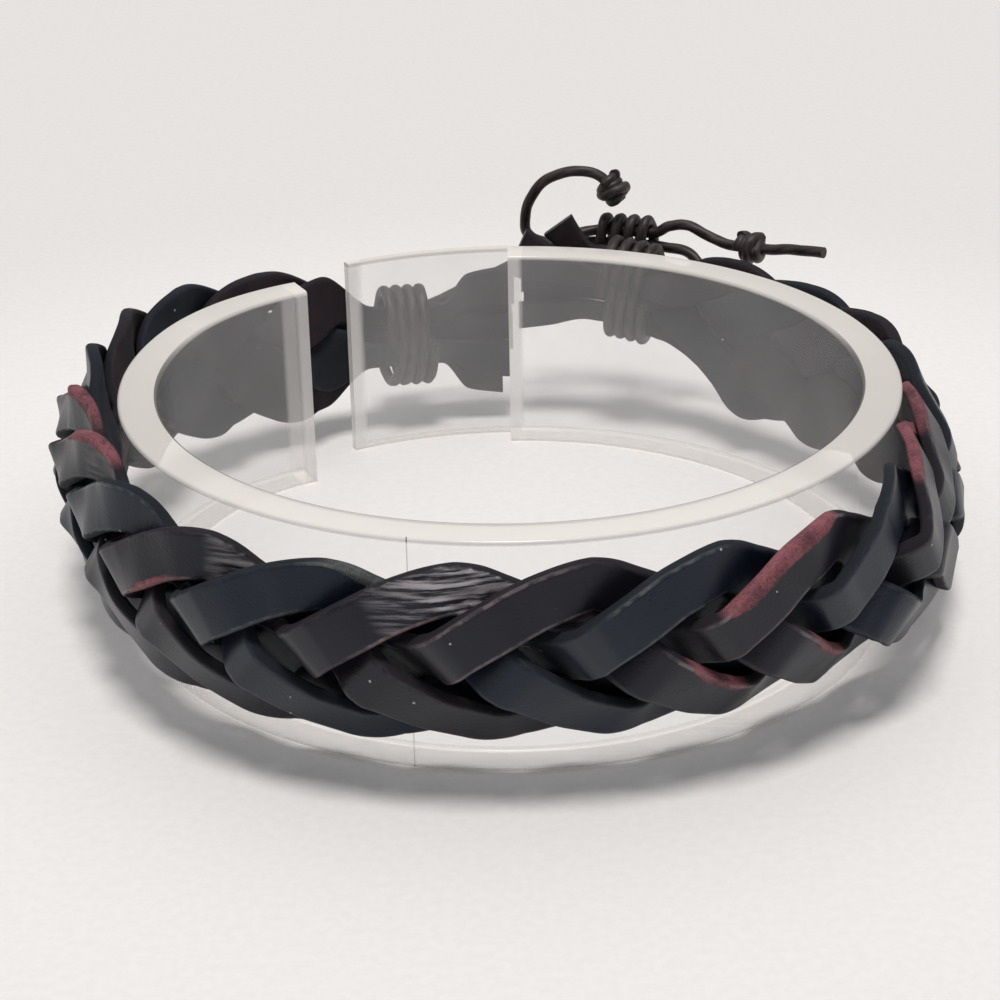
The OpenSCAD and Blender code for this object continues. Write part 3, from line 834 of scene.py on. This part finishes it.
def wound(core, turns, steps, up, out):
    # a line wound round another line
    last, line = len(core) - 1, []
    ahead = [(core[min(last, i + 1)] - core[max(0, i - 1)]).normalized()
             for i in range(last + 1)]
    count = round(turns * steps)
    for i in range(count + 1):
        t = last * i / count
        k = min(last - 1, int(t))
        middle = core[k].lerp(core[k + 1], t - k)
        way = ahead[k].lerp(ahead[k + 1], t - k).normalized()
        side = way.cross(Vector((1, 0, 0) if abs(way.z) > 0.9 else (0, 0, 1))).normalized()
        turn = math.tau * i / steps
        line.append(middle + side * (out * mm * math.cos(turn))
                    + side.cross(way) * (up * mm * math.sin(turn)))
    return line


def makeCordTree():
    # a round cord of twisted plies along a line
    tree, given, end = geometryTree("twistedCord", [
        ("Diameter", "Float", 0.001), ("Sides", "Int", 16), ("Plies", "Float", 3.0),
        ("Twist Pitch", "Float", 0.0026), ("Twist Depth", "Float", 0.00005),
        ("Material", "Material")])
    girth = named(tree, "girth")
    line = addNode(tree, "GeometryNodeMeshToCurve", {"Mesh": given["Geometry"]})
    line = addNode(tree, "GeometryNodeSetCurveRadius", {"Curve": line, "Radius": girth})
    ring = addNode(tree, "GeometryNodeCurvePrimitiveCircle",
                   {"Resolution": given["Sides"], "Radius": given["Diameter"] * 0.5})
    turn = addNode(tree, "GeometryNodeInputIndex") * math.tau / given["Sides"]
    skin = addNode(tree, "GeometryNodeCurveToMesh",
                   {"Curve": line, "Profile Curve": store(ring, "around", turn),
                    "Fill Caps": True})
    winding = (named(tree, "around") * given["Plies"]
               + named(tree, "along") * math.tau / given["Twist Pitch"])
    skin = store(skin, "ply", abs((winding * 0.5).reckon("COSINE")))
    depth = (named(tree, "ply") - 1.0) * (given["Twist Depth"] * girth)
    sunk = addNode(tree, "GeometryNodeInputNormal").vector("SCALE", depth)
    skin = addNode(tree, "GeometryNodeSetPosition", {"Geometry": skin, "Offset": sunk})
    finishTree(skin, given["Material"], end)
    return tree


def makeWaxed():
    look = cordLook
    material, shader, solid = newMaterial("waxedCord", {"IOR": look["ior"]})
    patches = solid.noise(look["patchScale"], 4.0, 0.6)
    tone = mixColour(patches.spread(0.3, 0.7), look["dark"], look["light"])
    # painted shade: the grooves between the plies are darkened
    tone = mixColour(attribute(solid.tree, "ply").spread(0.0, 0.6), look["grooveShade"], tone)
    fibres = solid.noise(look["fibreScale"], 3.0, 0.6)
    feed(shader, {"Base Color": dusted(tone, solid, look),
                  "Roughness": patches.spread(0.2, 0.8, *look["rough"]),
                  "Normal": bumpFrom(fibres, look["bumpStrength"], look["bumpDistance"])})
    return material


twistedCord, waxedCord = makeCordTree(), makeWaxed()


def makeCord(name, node, line):
    points, length = evenLine(line, cordage["spacing"] * mm)
    tipRun = cordage["tipRun"] * mm
    along = [length * i / (len(points) - 1) for i in range(len(points))]
    girth = [math.sqrt(max(cordage["tipLeast"],
                           1 - max(0.0, 1 - min(s, length - s) / tipRun) ** 2))
             for s in along]
    guide = guideLine(name, points, {"along": along, "girth": girth})
    piece = grow(guide, twistedCord, {
        "Diameter": cordage["diameter"] * mm, "Sides": cordage["sides"],
        "Plies": float(cordage["plies"]), "Twist Pitch": cordage["twistPitch"] * mm,
        "Twist Depth": cordage["twistDepth"] * mm, "Material": waxedCord},
        keep=("ply", "along"), sharp=60)
    standsFor(piece, node)
    return piece, points, length


def stopper(name, node, rows, stretch):
    c, steps = cordage, cordage["stopperSteps"]
    start, end = (number * c["routeSteps"] for number in stretch)
    line = route(rows)[start:end + 1]
    trim = round(c["stopperTrim"] * (len(line) - 1))
    core = line[trim:len(line) - trim]
    coil = wound(core, c["stopperTurns"], steps, c["stopperReach"], c["stopperReach"])
    back = wound(core[::-1], c["stopperBack"], steps, c["stopperOver"], c["stopperOver"])
    # the way back starts a few points on, so that the line turns softly
    return makeCord(name, node, smoothLine(coil + back[c["stopperSkip"]:], 2))[0]


def binding(name, node, middle):
    c, r = cordage, leather["radius"] + braid.push(middle)
    half = math.degrees(c["bindingTurns"] * c["bindingPitch"] / r / 2)
    core = [place(a, r, leather["height"] + braid.rise(a))
            for a in evenly(middle - half, middle + half, c["coreStep"])]
    makeCord(name, node, wound(core, c["bindingTurns"], c["bindingSteps"], c["bindingUp"],
                               c["bindingOut"]))


leftCord, leftPath, leftLength = makeCord("leftCord", "left_cord", route(cordage["left"]))
rightCord, rightPath, rightLength = makeCord("rightCord", "right_cord", route(cordage["right"]))
knotCore = [place(a, cordage["knotRadius"], cordage["knotHeight"])
            for a in evenly(cordage["knotFrom"], cordage["knotTo"], cordage["coreStep"])]
slidingKnot = makeCord("slidingKnot", "sliding_knot", wound(
    knotCore, cordage["knotTurns"], cordage["knotSteps"], cordage["knotUp"],
    cordage["knotOut"]))[0]
leftStopper = stopper("leftStopper", "left_stopper", cordage["left"], cordage["leftStopper"])
rightStopper = stopper("rightStopper", "right_stopper", cordage["right"],
                       cordage["rightStopper"])
binding("leftBinding", "left_binding", cordage["leftBinding"])
binding("rightBinding", "right_binding", cordage["rightBinding"])
print("cords", round(leftLength, 4), round(rightLength, 4))


clearRing = {
    "outerRadius": 30.0, "wall": 3.0, "height": 17.7, "corner": 0.3, "rightEnd": -179.6,
    "leanStart": 111.0, "lean": 42.0, "leanRadius": 19.0, "tongueWall": 0.8, "tongueEnd": 152.0,
    # the tongue starts this many degrees past the wall's right end
    "tongueGap": 0.002, "step": 1.0, "section": (6, 1, 3),
    # how much of what lies behind is covered: least and most by the walls' pale veil, a painted
    # reflection;
    # on the rim, frosted and painted pale for the light it gathers; below, by a painted highlight
    "reflectionVeilAlpha": (0.12, 0.18), "reflectionVeilDepth": (0.25, 1.0), "rimFrostAndLightAlpha": 0.72, "footHighlightAlpha": 0.40,
    "shadeLineAndSeamAlpha": 0.35,
    # painted highlight: the pale bands at the upright ends of the walls
    "endHighlightBand": 1.4, "endHighlightAlpha": 0.38, "endHighlightTone": (0.95, 0.93, 0.91, 1),
    # the veil's tone is a painted reflection; the rim's is frosted plastic painted pale for the
    # light it gathers; the foot's and the ends' are painted highlights; the line's is a painted
    # shade that the mould seam shares
    "reflectionVeilTone": (0.80, 0.785, 0.79, 1), "rimFrostAndLightTone": (0.84, 0.79, 0.73, 1),
    "footHighlightTone": (0.83, 0.80, 0.76, 1), "shadeLineAndSeamTone": (0.16, 0.15, 0.14, 1),
    "shadeLineWidth": 0.22, "seamAngle": 13.8, "seamWidth": 0.09,
    "ior": 1.46, "roughness": 0.2, "edgeBlur": 0.12, "veilNoiseScale": 90.0,
    # how far behind and before the ring's axis the painted veil and the painted dark shade line
    # change, in mm
    "depthRange": 15.0,
}


def makeClear():
    # clear walls under a pale painted veil that stands in for their reflections, denser at the
    # back;
    # a frosted rim painted pale for the light it gathers, and painted highlights at the foot and
    # ends
    r = clearRing
    material, shader, solid = newMaterial(
        "clearPlastic", {"IOR": r["ior"], "Roughness": r["roughness"]})
    x, y = attribute(solid.tree, "sectionPlace", "Vector").parts()
    sideways, back = solid.parts()
    edge, blur = (r["height"] / 2 - r["corner"]) * mm, r["edgeBlur"] * mm
    deep, endHighlightWidth = r["depthRange"] * mm, r["endHighlightBand"] * mm
    # the rim band is frosted and painted pale for the light it gathers
    top = x.spread(edge - blur, edge + blur)
    # the band at the foot is a painted highlight
    footHighlight = x.spread(blur - edge, -edge - blur)
    # painted highlight bands at the upright ends of the walls
    endHighlight = attribute(solid.tree, "along").spread(0.6 * endHighlightWidth, endHighlightWidth, 1.0, 0.0)
    # a pale painted veil that stands in for the walls' reflections, denser at the back
    reflectionVeil = (solid.noise(r["veilNoiseScale"], 3.0, 0.6).spread(0.3, 0.7, *r["reflectionVeilAlpha"])
            * back.spread(-deep, deep, *r["reflectionVeilDepth"]))
    # a painted dark shade line along the rim's inner edge at the front, and a mould seam up the
    # front
    inside = (r["wall"] / 2 - r["shadeLineWidth"]) * mm
    line = top * (y < -inside) * back.spread(0.0, deep, 1.0, 0.0)
    away = abs(sideways - place(r["seamAngle"], r["outerRadius"], 0).x)
    seam = (away < r["seamWidth"] / 2 * mm) * ((back < 0.0) * (y > inside))
    dark = line.reckon("MAXIMUM", seam)
    alpha = reflectionVeil + endHighlight * r["endHighlightAlpha"] + (top * r["rimFrostAndLightAlpha"] + footHighlight * r["footHighlightAlpha"])
    tone = mixColour(endHighlight, r["reflectionVeilTone"], r["endHighlightTone"])
    tone = mixColour(top, tone, r["rimFrostAndLightTone"])
    tone = mixColour(footHighlight, tone, r["footHighlightTone"])
    feed(shader, {"Base Color": mixColour(dark, tone, r["shadeLineAndSeamTone"]),
                  "Alpha": (alpha + dark * r["shadeLineAndSeamAlpha"]).clamped()})
    return material


def makeRing(section):
    r = clearRing
    middle, half = r["outerRadius"] - r["wall"] / 2, r["height"] / 2
    centres, across, outwards, fromEnd = [], [], [], []

    def addRow(centre, turn, thickness, gap):
        # gap is the angle to an upright end, which is pale
        centres.append(centre)
        fromEnd.append(math.radians(gap) * middle * mm)
        across.append((0, 0, 1))
        way = place(turn, 1, 0) / mm
        outwards.append(way * (thickness / r["wall"]))

    shift = middle - r["leanRadius"]
    bend = place(r["leanStart"], shift, half)
    leftEnd, tongueEnd = r["leanStart"] + r["lean"], r["tongueEnd"] - 360
    for a in evenly(leftEnd, r["leanStart"], r["step"])[:-1]:
        addRow(bend + place(a, r["leanRadius"], 0), a, r["wall"],
               (leftEnd - a) * r["leanRadius"] / middle)
    for a in evenly(r["leanStart"], r["rightEnd"], r["step"]):
        addRow(place(a, middle, half), a, r["wall"], a - r["rightEnd"])
    for a in evenly(r["rightEnd"], tongueEnd, r["step"]):
        addRow(place(a - r["tongueGap"], r["outerRadius"] - r["tongueWall"] / 2, half), a,
               r["tongueWall"], a - tongueEnd)
    plain = {label: [0.0] * len(centres) for label in ("wrinkle", "rawUpper", "rawLower")}
    guide = guideLine("displayRing", centres, {
        "across": across, "outwards": outwards, "along": fromEnd, **plain})
    ring = grow(guide, sweepSection, {
        "Section": section, "Width": r["height"] * mm, "Thickness": r["wall"] * mm,
        "Corner": r["corner"] * mm, "Wrinkle Height": 0.0, "Seed": 0.0,
        "Material": makeClear()}, keep=("sectionPlace", "along"), sharp=35)
    standsFor(ring, "display_ring")
    # the clear wall lets the light through, so it darkens nothing
    ring.visible_shadow = False
    return ring


ringSection = sectionLoop("ringSection", *clearRing["section"])
displayRing = makeRing(ringSection)
bpy.data.objects.remove(ringSection)
print("ring made", len(displayRing.data.polygons), "faces")


studio = {
    "floorSize": 3.0, "floorTone": (0.80, 0.77, 0.75, 1),
    # a painted pool of light: the cloth is painted a little paler round the ring; from and to in
    # mm
    "litPoolTone": (0.910, 0.880, 0.862, 1), "litPoolFrom": 48.0, "litPoolTo": 105.0,
    # the surroundings are bright above and behind and dim towards the front
    "skyWay": (0.0, 0.30, 0.95), "skyFrom": -0.1, "skyTo": 0.75,
    "skyDim": (0.19, 0.205, 0.245, 1), "skyBright": (0.98, 0.99, 1.0, 1), "skyStrength": 0.54,
    # soft sun: where it shines from, strength, angle across in degrees, colour
    "sunPlace": (0.0, -0.20, 1.0), "sunStrength": 1.85, "sunAngle": 16.0,
    "sunColour": (1.0, 0.985, 0.97),
    "floorRough": 0.75, "clothScale": 1400.0, "clothBump": 0.15, "clothDepth": 0.1,
    "weaveShare": 0.04,
}


def makeFloor():
    s, half = studio, studio["floorSize"] / 2
    mesh = bpy.data.meshes.new("floor")
    mesh.from_pydata([(-half, -half, 0), (half, -half, 0), (half, half, 0), (-half, half, 0)],
                     [], [(0, 1, 2, 3)])
    material, shader, solid = newMaterial("paleFloor", {"Roughness": s["floorRough"]})
    cloth = solid.noise(s["clothScale"], 3.0, 0.6)
    # painted pool of light: the cloth is paler near the ring
    far = solid.vector("LENGTH", out="Value").spread(s["litPoolFrom"] * mm, s["litPoolTo"] * mm)
    tone = mixColour(far, s["litPoolTone"], s["floorTone"])
    weave = cloth.spread(0.3, 0.7, s["weaveShare"], 0.0)
    feed(shader, {"Base Color": mixColour(weave, tone, (0.0, 0.0, 0.0, 1)),
                  "Normal": bumpFrom(cloth, s["clothBump"], s["clothDepth"])})
    mesh.materials.append(material)
    addObject("floor", mesh)


def makeLight():
    s, scene = studio, bpy.context.scene
    world = bpy.data.worlds.new("studio")
    world.use_nodes = True
    way = addNode(world.node_tree, "ShaderNodeTexCoord", {}, "Generated")
    lift = way.vector("DOT_PRODUCT", s["skyWay"], out="Value")
    feed(world.node_tree.nodes["Background"],
         {"Color": mixColour(lift.spread(s["skyFrom"], s["skyTo"]), s["skyDim"], s["skyBright"]),
          "Strength": s["skyStrength"]})
    scene.world = world
    data = bpy.data.lights.new("sun", "SUN")
    data.energy, data.color = s["sunStrength"], s["sunColour"]
    data.angle = math.radians(s["sunAngle"])
    sun = addObject("sun", data)
    sun.location = s["sunPlace"]
    sun.rotation_euler = (-Vector(s["sunPlace"])).to_track_quat("-Z", "Y").to_euler()
    scene.view_settings.view_transform = "Standard"


makeFloor()
makeLight()
print("floor and light ready")
